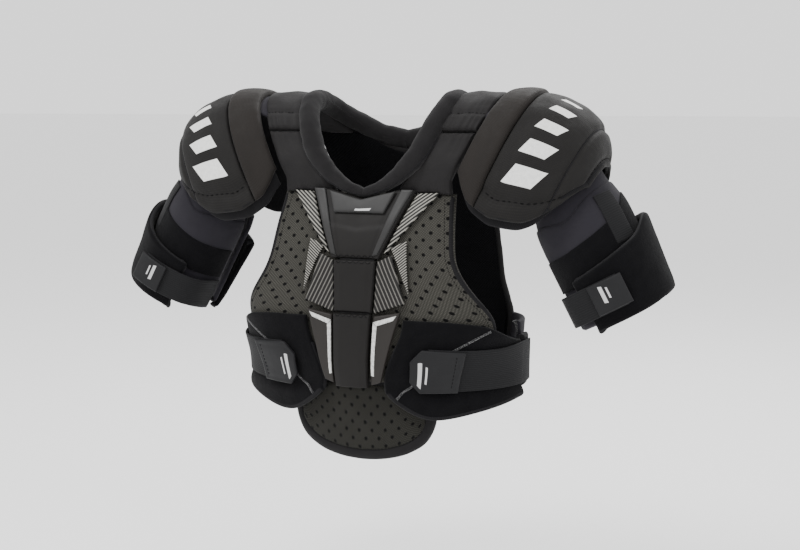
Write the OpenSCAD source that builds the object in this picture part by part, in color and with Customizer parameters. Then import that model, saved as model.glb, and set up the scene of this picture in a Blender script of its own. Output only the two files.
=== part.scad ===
// Hockey shoulder pads, worn size large, arms held a little away from the body.
// +X is the wearer's left, -Y the front, +Z up. The origin is the middle of the
// neck opening, where the yoke rests on the wearer's shoulders.

/* [Torso] */
// Half width of the trunk at the waist
torso_half_w = 171; // [162:1:180]
// Front depth of the chest at the sternum
chest_depth = 101; // [92:1:110]
// Front depth at the waist straps
waist_depth = 109; // [100:1:118]
// Depth of the back at the shoulder blades
back_depth = 103; // [92:1:115]
// Thickness of the chest and back foam
foam_t = 12; // [8:1:14]
// Thickness of the inner lining
liner_t = 2.5; // [1.5:0.5:3]

/* [Heights] */
// Level of the neckline at the front
neck_z = -93; // [-98:1:-90]
// Upper sternum seam
seam_1_z = -172; // [-176:1:-168]
// Lower sternum seam
seam_2_z = -235; // [-240:1:-230]
// Bottom point of the sternum guard
guard_z = -321; // [-326:1:-316]
// Lowest edge of the belly pad
hem_z = -419; // [-426:1:-410]

/* [Yoke] */
// Top of the shoulder blocks
yoke_top = 26; // [22:1:30]
// Depth of the yoke arch, front and back
yoke_depth = 72; // [68:1:76]
// Thickness of the yoke pads
yoke_t = 14; // [10:1:16]
// Radius of the padded collar roll
collar_r = 13; // [11:0.5:13]

/* [Caps] */
// Outward reach of the cap dome past its middle
cap_reach = 88; // [84:1:90]
// Half width of the cap, front to back
cap_half_w = 92; // [88:1:94]
// Height of the cap dome
cap_h = 130; // [126:1:132]
// Lean of the cap from upright
cap_lean = 25; // [24:1:26]

/* [Arms] */
// Inner radius of the bicep guard
guard_r = 50; // [46:1:51]
// Lean of the arm from upright
arm_lean = 28; // [26:1:29]
// Outward place of the middle of the bicep guard
arm_x = 281; // [279:1:285]
// Height of the middle of the bicep guard
arm_z = -186; // [-190:1:-184]

/* [Straps] */
// Width of the waist strap
strap_w = 52; // [40:1:56]
// Level of the middle of the waist straps
strap_z = -298; // [-302:1:-294]
// Width of the bicep strap
arm_strap_w = 38; // [30:1:42]

/* [Hidden] */
SIDES = ["left", "right"];
PAIRED = ["rib_panel", "stripe_panel", "hatch_panel", "wing_panel", "collar", "shoulder_block",
    "clavicle_panel", "plush_lobe", "side_wing", "strap_anchor", "cap_tether", "cap_roll",
    "cap_shell", "cap_insert", "cap_liner", "bicep_guard", "bicep_wrap", "arm_webbing",
    "bicep_strap", "bicep_tab", "waist_strap", "waist_tab"];
SINGLE = ["back_panel", "back_liner", "spine_guard", "front_liner", "chest_panel", "sternum_plate",
    "sternum_shield", "sternum_badge", "sternum_block_upper", "sternum_block_lower",
    "belly_pad", "belly_binding"];

gap = 0.4;
liner_gap = 0.9;
panel_d = gap;
cap_middle = 40;
cap_neck_run = 67;
cap_rim_run = 78;
cap_bulge = 2.6;
cap_base = -25;
cap_pivot = [150, 0, -60];
hem_depth = 97;

// ---- curves and surfaces ----
function unit(v) = v / norm(v);
function mix(a, b, k) = a + (b - a) * k;
function ramp(x) = let (k = max(0, min(1, x))) k * k * (3 - 2 * k);
function eased(z, table) = (lookup(z - 12, table) + 2 * lookup(z, table) + lookup(z + 12, table)) / 4;
function arc_sign(v, p) = sign(v) * pow(abs(v), p);

FRONT_DEPTHS = [[hem_z, hem_depth - 6], [-350, hem_depth], [strap_z, waist_depth], [-260, 106],
    [-213, chest_depth], [seam_1_z, chest_depth - 3], [-130, 86], [neck_z, 68], [-60, 60]];
BACK_HALF_W = [[-335, 148], [-250, 146], [-215, 128], [-140, 120], [-110, 116], [-84, 108], [-60, 107],
    [-24, 122]];
BACK_DEPTHS = [[-335, back_depth + 5], [-215, back_depth], [-140, back_depth - 3], [-60, 80], [-30, 70]];
ROUNDNESS = [[hem_z, 2], [strap_z, 2.1], [-213, 4.2], [seam_1_z, 4.2], [neck_z, 3]];

// Distance of the trunk's skin from the axis, at a bearing from straight ahead
function trunk_radius(t, z) =
    let (n = eased(z, ROUNDNESS), b = cos(t) > 0 ? eased(z, FRONT_DEPTHS) : eased(z, BACK_DEPTHS))
    pow(pow(abs(sin(t)) / torso_half_w, n) + pow(abs(cos(t)) / b, n), -1 / n);
function trunk(t, z) = let (r = trunk_radius(t, z)) [r * sin(t), -r * cos(t), z];
function trunk_normal(t, z) =
    unit(cross(trunk(t + 1, z) - trunk(t - 1, z), trunk(t, z + 1) - trunk(t, z - 1)));
function on_trunk(t, z, d) = trunk(t, z) + d * trunk_normal(t, z);
// Bearing at which the front of the trunk is x wide of the middle
function bearing(x, z, depths = FRONT_DEPTHS) =
    let (n = eased(z, ROUNDNESS), b = eased(z, depths))
    atan2(x, b * pow(1 - pow(abs(x) / torso_half_w, n), 1 / n));
function on_front(x, z, d) = on_trunk(bearing(x, z), z, d);

// Yoke arch over one shoulder; f is 0 at the front, 90 on top and 180 behind
function yoke_z(f) = -70 + (yoke_top + 70) * sin(f);
function on_yoke(x, f, d) = [x, -(yoke_depth + d) * cos(f), -70 + (yoke_top + 70 + d) * sin(f)];
YOKE_INNER = [[-86, 46], [-76, 57], [-60, 73], [-45, 84], [-12, 98], [25, 109]];
YOKE_NAPE = [[-22, 73], [-2, 91], [13, 103], [25, 109]];
function yoke_inner(f) = eased(yoke_z(f), f < 90 ? YOKE_INNER : YOKE_NAPE);
function yoke_outer(z) = cap_pivot.x + (-34 + sin(cap_lean) * (z - cap_pivot.z)) / cos(cap_lean);

// Cap dome: s is -1 at the neck edge, 0 at the middle and 1 at the outer rim; t goes round it
function cap_world(p) =
    cap_pivot + [p.x * cos(cap_lean) + p.z * sin(cap_lean), p.y, p.z * cos(cap_lean) - p.x * sin(cap_lean)];
function cap_out(s) = cap_rim_run / cap_reach * (1 - pow(1 - min(s, 1), 1.5) + max(0, s - 1));
function cap_swell(s) = s < 0 ? 1 - 0.18 * s * s : pow(1 - pow(cap_out(s), cap_bulge), 1 / cap_bulge);
function cap_along(s, d) = cap_middle + (s < 0 ? cap_neck_run * s : (cap_reach + d) * cap_out(s));
function on_cap(s, t, d) =
    let (k = cap_swell(s))
    cap_world([cap_along(s, d), (cap_half_w + d) * k * arc_sign(sin(t), 0.87),
        cap_base + (cap_h + d) * k * arc_sign(cos(t), 0.87)]);
CAP_RIM = [[-27, 88], [-16, 92], [0, 97], [33, 98.5], [72, 94], [88, 89], [100, 82], [110, 68], [118, 48]];
function cap_end(s) = (lookup(cap_along(s, 0) - 3, CAP_RIM) + lookup(cap_along(s, 0) + 3, CAP_RIM)) / 2;

// Bicep tube: a is 0 outward, -90 in front; u goes up along the arm
function on_arm(a, u, r) = [
    arm_x + r * cos(a) * cos(arm_lean) - u * sin(arm_lean),
    r * sin(a),
    arm_z + r * cos(a) * sin(arm_lean) + u * cos(arm_lean)];

// ---- shared solids ----
function split(a, b, c, d) = [[a, b, c], [a, c, d]];

// Closed slab; at(u, v, k) gives the inner face at k = 0 and the outer face at k = 1,
// with u to the right and v downward when it is seen from outside
module slab(at, nu, nv) {
    row = nv + 1;
    layer = row * (nu + 1);
    id = function(k, i, j) k * layer + i * row + j;
    points = [for (k = [0, 1]) for (i = [0:nu]) for (j = [0:nv]) at(i / nu, j / nv, k)];
    skins = [for (i = [0:nu - 1]) for (j = [0:nv - 1]) each concat(
        split(id(1, i, j), id(1, i + 1, j), id(1, i + 1, j + 1), id(1, i, j + 1)),
        split(id(0, i, j), id(0, i, j + 1), id(0, i + 1, j + 1), id(0, i + 1, j)))];
    ends = [for (i = [0:nu - 1]) each concat(
        split(id(0, i, 0), id(0, i + 1, 0), id(1, i + 1, 0), id(1, i, 0)),
        split(id(1, i, nv), id(1, i + 1, nv), id(0, i + 1, nv), id(0, i, nv)))];
    sides = [for (j = [0:nv - 1]) each concat(
        split(id(0, 0, j), id(1, 0, j), id(1, 0, j + 1), id(0, 0, j + 1)),
        split(id(1, nu, j), id(0, nu, j), id(0, nu, j + 1), id(1, nu, j + 1)))];
    polyhedron(points, concat(skins, ends, sides), convexity = 6);
}

// Four-cornered plate on the front of the trunk; corners are [x, z] and the middle of the
// top edge dips under the collar
module plate(tl, tr, br, bl, d0, d_top, d_bottom, nu = 3, nv = 3, dip = 0) {
    slab(function(u, v, k)
        let (p = mix(mix(tl, tr, u), mix(bl, br, u), v), down = dip * (1 - v) * max(0, 1 - abs(p.x) / 43))
        on_front(p.x, p.y - down, k == 0 ? d0 : mix(d_top, d_bottom, v)), nu, nv);
}

// Smooth curve through a list of points
function curve_at(p, i, k) =
    let (a = p[max(0, i - 1)], b = p[i], c = p[i + 1], d = p[min(len(p) - 1, i + 2)])
    0.5 * (2 * b + (c - a) * k + (2 * a - 5 * b + 4 * c - d) * k * k + (3 * b - a - 3 * c + d) * k * k * k);
function curve(p, steps) =
    concat([for (i = [0:len(p) - 2]) for (k = [0:steps - 1]) curve_at(p, i, k / steps)], [p[len(p) - 1]]);

// Round bar swept along a path that starts and ends square to the X axis; radius(k) is its
// radius at the share k of the path
module bar(path, radius, sides = 12) {
    last = len(path) - 1;
    ahead = [for (i = [0:last])
        i == 0 ? [1, 0, 0] : i == last ? [-1, 0, 0] : unit(path[i + 1] - path[i - 1])];
    points = [for (i = [0:last])
        let (n1 = unit(cross([0, 0, 1], ahead[i])), n2 = cross(ahead[i], n1), r = radius(i / last))
        for (j = [0:sides - 1]) path[i] + r * (cos(360 * j / sides) * n1 + sin(360 * j / sides) * n2)];
    id = function(i, j) i * sides + j % sides;
    walls = [for (i = [0:last - 1]) for (j = [0:sides - 1]) each
        split(id(i, j), id(i + 1, j), id(i + 1, j + 1), id(i, j + 1))];
    start = [for (j = [0:sides - 1]) id(0, j)];
    finish = [for (j = [sides - 1:-1:0]) id(last, j)];
    polyhedron(points, concat(walls, [start, finish]), convexity = 8);
}

// ---- back half ----
// Rise of the back's top edge under the collar, from its middle to its side
NAPE_RISE = [[0, 0], [0.3, 6], [0.45, 12], [0.6, 18], [1, 22]];
module back_layer(d0, d1, top, bottom, inset) {
    slab(function(u, v, k)
        let (side = 2 * u - 1, z = mix(top + lookup(abs(side), NAPE_RISE), bottom, v),
            half = bearing(eased(z, BACK_HALF_W) - inset, z, BACK_DEPTHS))
        on_trunk(180 + half * side, z, k == 0 ? d0 : d1), 20, 12);
}
module back_panel() {
    color("#26272b") back_layer(-foam_t, 0, -50, -332, 0);
}
module back_liner() {
    color("#141518") back_layer(-foam_t - liner_gap - liner_t, -foam_t - liner_gap, -54, -328, 2);
}
module spine_guard() {
    color("#1c1d20") slab(function(u, v, k)
        on_trunk(180 + 17 * (2 * u - 1), mix(-70, -310, v), k == 0 ? panel_d + 1.6 : panel_d + 8), 8, 10);
}
module side_wing() {
    color("#4a4850") slab(function(u, v, k)
        let (z = mix(-252, -334, v), back = 180 - bearing(eased(z, BACK_HALF_W), z, BACK_DEPTHS) - 0.8)
        on_trunk(mix(93, back, u), z, k == 0 ? -7 : 0), 5, 3);
}
module strap_anchor() {
    color("#1b1b1d") slab(function(u, v, k)
        on_trunk(mix(89, 96.5, u), strap_z + (strap_w / 2 + 6) * (1 - 2 * v), k == 0 ? panel_d : 9), 3, 1);
}

// ---- front half ----
CHEST_HALF_W = [[-318, 158], [-270, 163], [-240, 165], [-226, 158], [-213, 147], [-187, 128],
    [seam_1_z, 121], [neck_z, 112]];
module front_layer(d0, d1, top, bottom, inset) {
    slab(function(u, v, k)
        let (z = mix(top, bottom, v), t = bearing(eased(z, CHEST_HALF_W) - inset, z))
        on_trunk(t * (2 * u - 1), z, k == 0 ? d0 : d1), 18, 12);
}
module chest_panel() {
    color("#3f4038") front_layer(-foam_t, 0, neck_z - 1, -318, 0);
}
module front_liner() {
    color("#2c2d30") front_layer(-foam_t - liner_gap - liner_t, -foam_t - liner_gap, neck_z - 4, -315, 2);
}

// Half widths of the sternum guard, from its middle line
shield_top_w = 66;
shield_bottom_w = 30;
block_top_w = 27;
block_bottom_w = 20;
stripe_w = 94;
wing_top_w = 60;
shield_top = neck_z + 1;
module sternum_plate() {
    color("#101012") plate([-24, -124], [24, -124], [17, guard_z + 14], [-17, guard_z + 14],
        panel_d + 0.8, panel_d + 2, panel_d + 2, 4, 8);
}
sternum_d = panel_d + 2 + gap;
neck_dip = 12;
module sternum_shield() {
    color("#2b2b2d") plate([-shield_top_w, shield_top], [shield_top_w, shield_top],
        [shield_bottom_w, seam_1_z], [-shield_bottom_w, seam_1_z],
        sternum_d, sternum_d + 7, sternum_d + 8, 10, 5, neck_dip);
}
module sternum_badge() {
    color("#3a3a3d") plate([-43, shield_top - 3], [43, shield_top - 3], [32, -122], [-32, -122],
        sternum_d + 8 + gap, sternum_d + 11.5, sternum_d + 11.5, 8, 2, neck_dip);
}
module sternum_block_upper() {
    color("#1e1e20") plate([-block_top_w, seam_1_z - 1], [block_top_w, seam_1_z - 1],
        [24, seam_2_z], [-24, seam_2_z], sternum_d, sternum_d + 9, sternum_d + 11, 4, 4);
}
module sternum_block_lower() {
    color("#1e1e20") plate([-24, seam_2_z - 1], [24, seam_2_z - 1],
        [block_bottom_w, guard_z], [-block_bottom_w, guard_z],
        sternum_d, sternum_d + 12, sternum_d + 17, 4, 5);
}
module stripe_panel() {
    color("#6d6d70") plate([shield_top_w + 1, shield_top - 3], [stripe_w, shield_top - 2],
        [shield_bottom_w + 9, -163], [shield_bottom_w + 5, -166],
        sternum_d, sternum_d + 4, sternum_d + 4, 3, 5);
}
module hatch_panel() {
    color("#8a8a8c") plate([43, -158], [62, -149], [68, -212], [52, -174],
        sternum_d, sternum_d + 3, sternum_d + 3, 2, 3);
}
module rib_panel() {
    color("#5a5a5c") plate([block_top_w + 1, seam_1_z - 2], [46, -166], [64, -222], [25, seam_2_z - 1],
        sternum_d, sternum_d + 5, sternum_d + 6, 4, 4);
}
module wing_panel() {
    color("#241f1e") plate([26, seam_2_z - 3], [wing_top_w, seam_2_z + 3],
        [35, guard_z + 6], [23, guard_z + 2], sternum_d, sternum_d + 6, sternum_d + 10, 3, 5);
}
LOBE_TOP = [[0, -241], [0.35, -241], [0.6, -246], [0.8, -262], [1, -272]];
LOBE_BOTTOM = [[0, -330], [0.2, -352], [0.35, -363], [0.5, -360], [0.65, -353], [1, -336]];
module plush_lobe() {
    color("#161618") slab(function(u, v, k)
        let (z = mix(lookup(u, LOBE_TOP), lookup(u, LOBE_BOTTOM), v),
            inner = mix(wing_top_w + 2, 38, ramp((-241 - z) / 80)), start = bearing(inner, z),
            t = mix(start, 87, u), lift = 4 * ramp((-326 - z) / 12))
        on_trunk(t, z, (k == 0 ? panel_d : 8) + lift), 14, 8);
}

// ---- yoke ----
module yoke_pad(f0, f1, d0, d1, nv) {
    slab(function(u, v, k)
        let (f = mix(f1, f0, v), z = yoke_z(f))
        on_yoke(mix(yoke_inner(f) + 1, yoke_outer(z), u), f, k == 0 ? d0 : d1), 4, nv);
}
module shoulder_block() {
    color("#242426") yoke_pad(32.5, 150, -yoke_t, 0, 16);
}
module clavicle_panel() {
    color("#28282a") yoke_pad(-12, 31.5, -yoke_t + 2, -1, 8);
}
module cap_tether() {
    color("#303033") translate([118, -18, yoke_top - yoke_t - 8]) cube([26, 36, 2]);
}
COLLAR_PATH = [[0.2, -76, -94], [26, -76, -84], [47, -74, -69], [67, -68, -45], [82, -54, -12],
    [91, -28, 12], [93, 0, 17], [88, 30, 9], [66, 55, -9], [34, 67, -26], [0.2, 71, -34]];
COLLAR_FULLNESS = [[0, 0.45], [0.1, 0.6], [0.2, 0.82], [0.3, 1], [1, 1]];
module collar() {
    color("#2f2f32") bar(curve(COLLAR_PATH, 3), function(k) collar_r * lookup(k, COLLAR_FULLNESS));
}

// ---- belly ----
belly_half_w = 93;
belly_top = -324;
function belly_foot(u) = hem_z + 44 * pow(abs(2 * u - 1), 3.2);
rim_h = 14;
function on_belly(x, z, d) =
    [x, -(eased(z, FRONT_DEPTHS) + d) * sqrt(1 - pow(x / torso_half_w, 2)), z];
module belly_pad() {
    color("#33332e") slab(function(u, v, k)
        on_belly((belly_half_w - rim_h) * (2 * u - 1), mix(belly_top, belly_foot(u) + rim_h, v),
            k == 0 ? -14 : -3), 12, 6);
}
module belly_binding() {
    color("#18181a") slab(function(u, v, k)
        let (side = 2 * u - 1, x = mix(belly_half_w - rim_h, belly_half_w, v) * side)
        on_belly(x, belly_foot(u) + (rim_h - gap) * (1 - v), k == 0 ? -13 : -4), 16, 1);
}

// ---- waist straps ----
module waist_strap() {
    color("#38383b") slab(function(u, v, k)
        on_trunk(mix(43, 86, u), strap_z + strap_w / 2 * (1 - 2 * v), k == 0 ? 9.8 : 12.4), 12, 2);
}
module waist_tab() {
    half = strap_w / 2;
    color("#1d1d1f") slab(function(u, v, k)
        let (h = half * (u < 0.25 ? mix(0.45, 1, u / 0.25) : 1))
        on_trunk(mix(35, 57, u), strap_z + h * (1 - 2 * v), k == 0 ? 13.2 : 18), 8, 3);
}

// ---- caps ----
module cap_layer(s0, s1, d0, d1, nu, nv, drop = 0) {
    slab(function(u, v, k)
        let (s = mix(s0, s1, u), t = (cap_end(s) + drop) * (1 - 2 * v))
        on_cap(s, t, k == 0 ? d0 : d1), nu, nv);
}
roll_s = -0.42;
module cap_roll() {
    color("#29292b") cap_layer(-1, roll_s - 0.01, -9, 3, 4, 18);
}
module cap_shell() {
    color("#232325") cap_layer(roll_s, 1, -8, 0, 12, 18);
}
module cap_insert() {
    color("#0e0e10") cap_layer(-0.36, 0.9, -10.8, -9, 12, 16, -10);
}
module cap_liner() {
    color("#1a1a1c") cap_layer(-0.96, 1.06, -17.5, -12, 12, 16, 5);
}

// ---- arms ----
GUARD_TOP = [[0, 96], [55, 90], [95, 72], [130, 80], [172, 80]];
function guard_top(a) = lookup(abs(a), GUARD_TOP);
function guard_taper(u) = 6 * ramp((u - 60) / 45);
module bicep_guard() {
    color("#3a3a44") slab(function(u, v, k)
        let (a = mix(-172, 150, u), h = mix(guard_top(a), -50, v))
        on_arm(a, h, guard_r - guard_taper(h) + (k == 0 ? 0 : 7)), 22, 6);
}
WRAP_TOP = [[-114, 7], [-76, 13], [-30, 25], [-5, 43], [20, 46]];
function wrap_top(a) = lookup(a, WRAP_TOP);
function wrap_flare(u) = 6 * ramp((u + 40) / 86);
module bicep_wrap() {
    color("#1a1a1d") slab(function(u, v, k)
        let (a = mix(-114, 145, u), h = mix(wrap_top(a), -58, v))
        on_arm(a, h, guard_r + 8 + wrap_flare(h) + (k == 0 ? 0 : 9)), 20, 5);
}
module arm_webbing() {
    color("#4c4c50") slab(function(u, v, k)
        let (h = mix(88, 40, v))
        on_arm(mix(-46, -18, u), h, guard_r - 4 - guard_taper(h) + 2.5 * k), 4, 3);
}
arm_strap_r = guard_r + 22;
arm_strap_u = -24;
function arm_strap_at(a) = mix(guard_r + 8.4, arm_strap_r, ramp((a + 165) / 45));
module bicep_strap() {
    color("#55555a") slab(function(u, v, k)
        let (a = mix(-165, -70, u), h = arm_strap_u + arm_strap_w / 2 * (1 - 2 * v))
        on_arm(a, h, arm_strap_at(a) + (k == 0 ? 0 : 2.4)), 14, 1);
}
module bicep_tab() {
    color("#1d1d1f") slab(function(u, v, k)
        on_arm(mix(-98, -66, u), arm_strap_u + (arm_strap_w / 2 - 1) * (1 - 2 * v),
            arm_strap_r + 2.4 + gap + (k == 0 ? 0 : 4.5)), 5, 1);
}

back_panel();
back_liner();
spine_guard();
front_liner();
chest_panel();
sternum_plate();
sternum_shield();
sternum_badge();
sternum_block_upper();
sternum_block_lower();
belly_pad();
belly_binding();
rib_panel();  // rib_panel_left
mirror([1, 0, 0]) rib_panel();  // rib_panel_right
stripe_panel();  // stripe_panel_left
mirror([1, 0, 0]) stripe_panel();  // stripe_panel_right
hatch_panel();  // hatch_panel_left
mirror([1, 0, 0]) hatch_panel();  // hatch_panel_right
wing_panel();  // wing_panel_left
mirror([1, 0, 0]) wing_panel();  // wing_panel_right
collar();  // collar_left
mirror([1, 0, 0]) collar();  // collar_right
shoulder_block();  // shoulder_block_left
mirror([1, 0, 0]) shoulder_block();  // shoulder_block_right
clavicle_panel();  // clavicle_panel_left
mirror([1, 0, 0]) clavicle_panel();  // clavicle_panel_right
plush_lobe();  // plush_lobe_left
mirror([1, 0, 0]) plush_lobe();  // plush_lobe_right
side_wing();  // side_wing_left
mirror([1, 0, 0]) side_wing();  // side_wing_right
strap_anchor();  // strap_anchor_left
mirror([1, 0, 0]) strap_anchor();  // strap_anchor_right
cap_tether();  // cap_tether_left
mirror([1, 0, 0]) cap_tether();  // cap_tether_right
cap_roll();  // cap_roll_left
mirror([1, 0, 0]) cap_roll();  // cap_roll_right
cap_shell();  // cap_shell_left
mirror([1, 0, 0]) cap_shell();  // cap_shell_right
cap_insert();  // cap_insert_left
mirror([1, 0, 0]) cap_insert();  // cap_insert_right
cap_liner();  // cap_liner_left
mirror([1, 0, 0]) cap_liner();  // cap_liner_right
bicep_guard();  // bicep_guard_left
mirror([1, 0, 0]) bicep_guard();  // bicep_guard_right
bicep_wrap();  // bicep_wrap_left
mirror([1, 0, 0]) bicep_wrap();  // bicep_wrap_right
arm_webbing();  // arm_webbing_left
mirror([1, 0, 0]) arm_webbing();  // arm_webbing_right
bicep_strap();  // bicep_strap_left
mirror([1, 0, 0]) bicep_strap();  // bicep_strap_right
bicep_tab();  // bicep_tab_left
mirror([1, 0, 0]) bicep_tab();  // bicep_tab_right
waist_strap();  // waist_strap_left
mirror([1, 0, 0]) waist_strap();  // waist_strap_right
waist_tab();  // waist_tab_left
mirror([1, 0, 0]) waist_tab();  // waist_tab_right
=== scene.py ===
"""Hockey shoulder pads: the visible pieces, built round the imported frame."""
import math

import bpy
import numpy as np
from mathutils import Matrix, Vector, noise


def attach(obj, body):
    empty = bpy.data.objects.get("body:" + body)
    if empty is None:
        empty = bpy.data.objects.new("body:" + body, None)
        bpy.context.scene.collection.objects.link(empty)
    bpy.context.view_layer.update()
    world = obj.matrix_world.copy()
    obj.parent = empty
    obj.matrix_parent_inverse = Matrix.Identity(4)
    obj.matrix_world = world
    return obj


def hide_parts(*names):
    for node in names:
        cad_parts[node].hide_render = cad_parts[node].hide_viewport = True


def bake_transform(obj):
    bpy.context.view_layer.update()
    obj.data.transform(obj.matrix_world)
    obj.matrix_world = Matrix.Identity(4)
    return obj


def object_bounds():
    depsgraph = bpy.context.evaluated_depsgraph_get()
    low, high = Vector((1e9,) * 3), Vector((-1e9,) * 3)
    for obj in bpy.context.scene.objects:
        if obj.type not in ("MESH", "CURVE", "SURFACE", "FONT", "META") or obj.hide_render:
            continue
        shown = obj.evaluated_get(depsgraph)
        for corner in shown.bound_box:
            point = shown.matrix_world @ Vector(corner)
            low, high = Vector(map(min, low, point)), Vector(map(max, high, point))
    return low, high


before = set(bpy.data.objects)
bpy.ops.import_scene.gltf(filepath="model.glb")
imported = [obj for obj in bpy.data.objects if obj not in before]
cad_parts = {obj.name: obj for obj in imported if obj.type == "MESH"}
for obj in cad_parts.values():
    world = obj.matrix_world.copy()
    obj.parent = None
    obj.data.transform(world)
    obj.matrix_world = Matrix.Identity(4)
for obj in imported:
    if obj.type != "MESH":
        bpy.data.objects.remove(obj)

CAD_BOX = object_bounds()
MM = 0.001  # metres


def add_object(name, data):
    made = bpy.data.objects.new(name, data)
    bpy.context.scene.collection.objects.link(made)
    return made


# ---- camera and light ----
LIGHT_TARGET = Vector((0, 0, -0.15))


def make_camera():
    """Camera in front, a little to the wearer's left and slightly above."""
    azimuth = math.radians(22)
    distance = 1.8
    height = 0.017
    turn = math.radians(21.52)
    pitch = math.radians(6.93)
    data = bpy.data.cameras.new("camera")
    data.lens = 64.8
    camera = add_object("camera", data)
    camera.location = (distance * math.sin(azimuth), -distance * math.cos(azimuth), height)
    camera.rotation_euler = (math.pi / 2 - pitch, 0, turn)
    bpy.context.scene.camera = camera


def area_light(name, place, size, power):
    data = bpy.data.lights.new(name, "AREA")
    data.size = size
    data.energy = power
    light = add_object(name, data)
    light.location = place
    light.rotation_mode = "QUATERNION"
    light.rotation_quaternion = (LIGHT_TARGET - Vector(place)).to_track_quat("-Z", "Y")


def make_stage():
    """Plain pale floor well below the pads, and soft studio light."""
    floor_z = CAD_BOX[0].z - 0.25
    half = 60.0
    mesh = bpy.data.meshes.new("floor")
    corner = [(-half, -half), (half, -half), (half, half), (-half, half)]
    mesh.from_pydata([(x, y, floor_z) for x, y in corner], [], [(0, 1, 2, 3)])
    floor = add_object("floor", mesh)
    pale = bpy.data.materials.new("floor")
    pale.use_nodes = True
    surface = pale.node_tree.nodes["Principled BSDF"].inputs
    surface["Base Color"].default_value = (0.9, 0.9, 0.9, 1)
    surface["Roughness"].default_value = 0.9
    mesh.materials.append(pale)
    world = bpy.data.worlds.new("studio")
    world.use_nodes = True
    sky = world.node_tree.nodes["Background"].inputs
    sky["Color"].default_value = (1, 1, 1, 1)
    sky["Strength"].default_value = 1.5
    bpy.context.scene.world = world
    area_light("key", (-1.0, -1.8, 2.2), 0.9, 60)
    area_light("fill", (2.2, -1.4, 0.9), 1.4, 14)
    area_light("rim", (0.3, 1.6, 1.8), 1.0, 45)


# ---- curves and surfaces, in millimetres, the same as the frame's ----
TORSO_HALF_W = 171
NECK_Z, SEAM_1_Z, SEAM_2_Z, GUARD_Z, HEM_Z = -93, -172, -235, -321, -419
STRAP_Z, STRAP_W = -298, 52
YOKE_DEPTH, YOKE_FOOT, YOKE_TOP, YOKE_T = 72, -70, 26, 14
YOKE_END = -34  # outer end, along the cap's slope from its pivot
FOAM_T = 12
CAP_LEAN, ARM_LEAN = math.radians(25), math.radians(28)
CAP_REACH, CAP_HALF_W, CAP_H, CAP_MIDDLE, CAP_BASE = 88, 92, 130, 40, -25
CAP_NECK_RUN, CAP_RIM_RUN, CAP_BULGE = 67, 78, 2.6
CAP_NARROWING, CAP_SQUARENESS, CAP_SPREAD = 0.18, 0.87, 1.5
CAP_PIVOT = (150, -60)
ARM_X, ARM_Z, GUARD_R = 281, -186, 50
FRONT_DEPTHS = [(HEM_Z, 91), (-350, 97), (STRAP_Z, 109), (-260, 106), (-213, 101), (SEAM_1_Z, 98),
                (-130, 86), (NECK_Z, 68), (-60, 60)]
BACK_DEPTHS = [(-335, 108), (-215, 103), (-140, 100), (-60, 80), (-30, 70)]
BACK_HALF_W = [(-335, 148), (-250, 146), (-215, 128), (-140, 120), (-110, 116), (-84, 108), (-60, 107),
               (-24, 122)]
CHEST_HALF_W = [(-318, 158), (-270, 163), (-240, 165), (-226, 158), (-213, 147), (-187, 128), (SEAM_1_Z, 121),
                (NECK_Z, 112)]
ROUNDNESS = [(HEM_Z, 2), (STRAP_Z, 2.1), (-213, 4.2), (SEAM_1_Z, 4.2), (NECK_Z, 3)]
NAPE_RISE = [(0, 0), (0.3, 7), (0.45, 14), (0.6, 21), (1, 32)]
YOKE_INNER = [(-86, 46), (-76, 57), (-60, 73), (-45, 84), (-12, 98), (25, 109)]
YOKE_NAPE = [(-22, 73), (-2, 91), (13, 103), (25, 109)]
CAP_RIM = [(-27, 88), (-16, 92), (0, 97), (33, 98.5), (72, 94), (88, 89), (100, 82), (110, 68), (118, 48)]


def eased(x, table, reach=12.0):
    """Lookup in a table of (key, value), straight between its rows and with its corners rounded off."""
    keys, values = zip(*sorted(table))
    steps = np.linspace(-1.5, 1.5, 7)
    weights = 1 - np.abs(steps) / 2
    return sum(w * np.interp(x + s * reach, keys, values) for s, w in zip(steps, weights)) / weights.sum()


def ramp(x):
    """0 below 0 and 1 above 1, smooth between."""
    k = np.clip(x, 0, 1)
    return k * k * (3 - 2 * k)


def mix(a, b, k):
    return a + (b - a) * k


def stack(x, y, z):
    return np.stack(np.broadcast_arrays(x, y, z), axis=-1).astype(float)


def trunk(t, z):
    """Skin of the trunk at a bearing t in degrees from straight ahead."""
    s, c = np.sin(np.radians(t)), np.cos(np.radians(t))
    n = eased(z, ROUNDNESS)
    depth = np.where(c > 0, eased(z, FRONT_DEPTHS), eased(z, BACK_DEPTHS))
    r = ((np.abs(s) / TORSO_HALF_W) ** n + (np.abs(c) / depth) ** n) ** (-1 / n)
    return stack(r * s, -r * c, z)


def bearing(x, z, depths=FRONT_DEPTHS):
    """Bearing at which the trunk is x wide of the middle."""
    n, depth = eased(z, ROUNDNESS), eased(z, depths)
    return np.degrees(np.arctan2(x, depth * (1 - (np.abs(x) / TORSO_HALF_W) ** n) ** (1 / n)))


def front(x, z):
    return trunk(bearing(x, z), z)


def yoke_z(f):
    return YOKE_FOOT + (YOKE_TOP - YOKE_FOOT) * np.sin(np.radians(f))


def yoke(x, f):
    """Shoulder arch: f is 0 at its front foot, 90 on top and 180 at its back foot."""
    return stack(x, -YOKE_DEPTH * np.cos(np.radians(f)), yoke_z(f))


def yoke_inner(f):
    return np.where(f < 90, eased(yoke_z(f), YOKE_INNER), eased(yoke_z(f), YOKE_NAPE))


def yoke_outer(z):
    return CAP_PIVOT[0] + (YOKE_END + math.sin(CAP_LEAN) * (z - CAP_PIVOT[1])) / math.cos(CAP_LEAN)


def signed_power(x, p):
    return np.sign(x) * np.abs(x) ** p


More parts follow.
